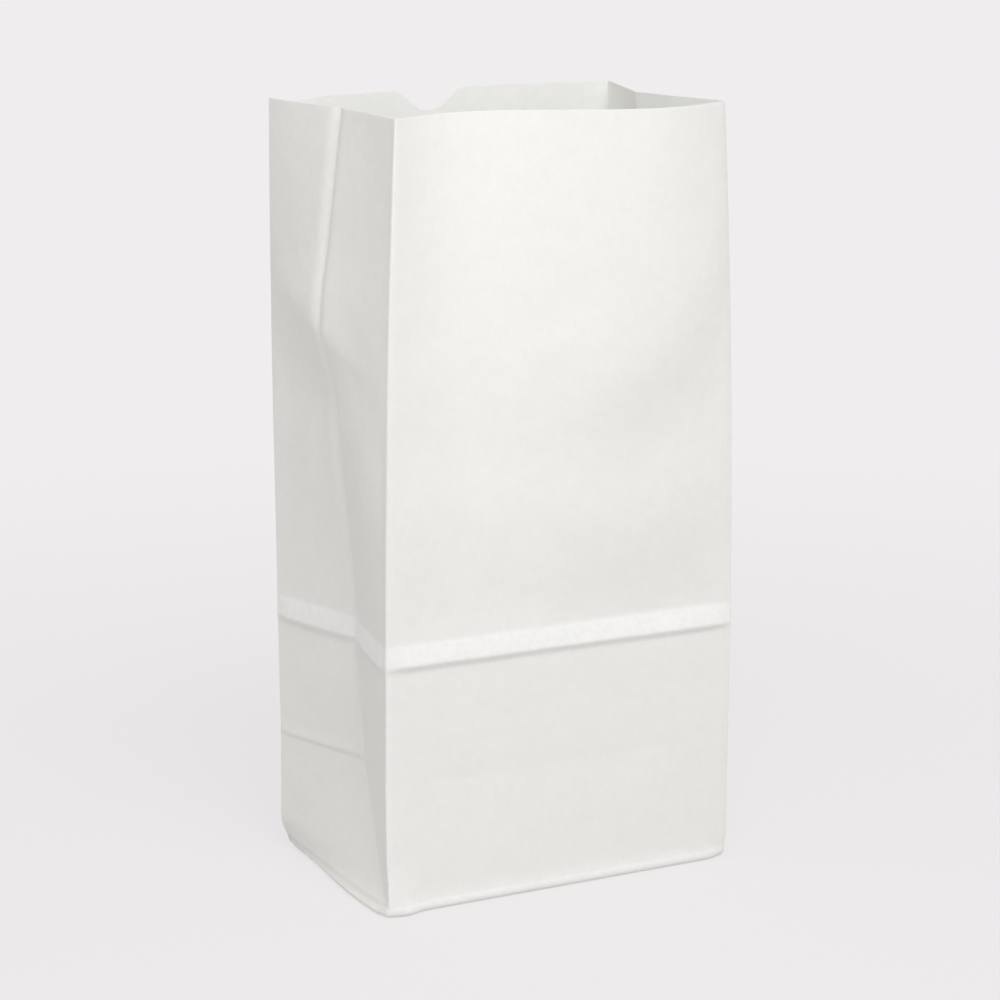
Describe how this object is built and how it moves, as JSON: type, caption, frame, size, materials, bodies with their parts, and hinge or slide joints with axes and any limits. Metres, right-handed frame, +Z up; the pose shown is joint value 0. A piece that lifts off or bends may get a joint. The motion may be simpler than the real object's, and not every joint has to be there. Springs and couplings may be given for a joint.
{
  "type": "white paper lunch bag",
  "caption": "Open self-standing paper lunch bag with creased side gussets, a folded block bottom, an all-round crease band and a thumb notch in the back edge.",
  "frame": {"origin": "on the ground under the middle of the base, on the outermost bottom flap", "axes": "+Z up through the open mouth, the plain front panel faces -Y, the notched back panel faces +Y"},
  "size_m": [0.163, 0.1173, 0.3159],
  "materials": {
    "white_kraft_paper": "matt machine-finished white kraft paper, soft fibre mottle"
  },
  "bodies": {
    "root": {"paper_bag": "white_kraft_paper"}
  },
  "joints": []
}
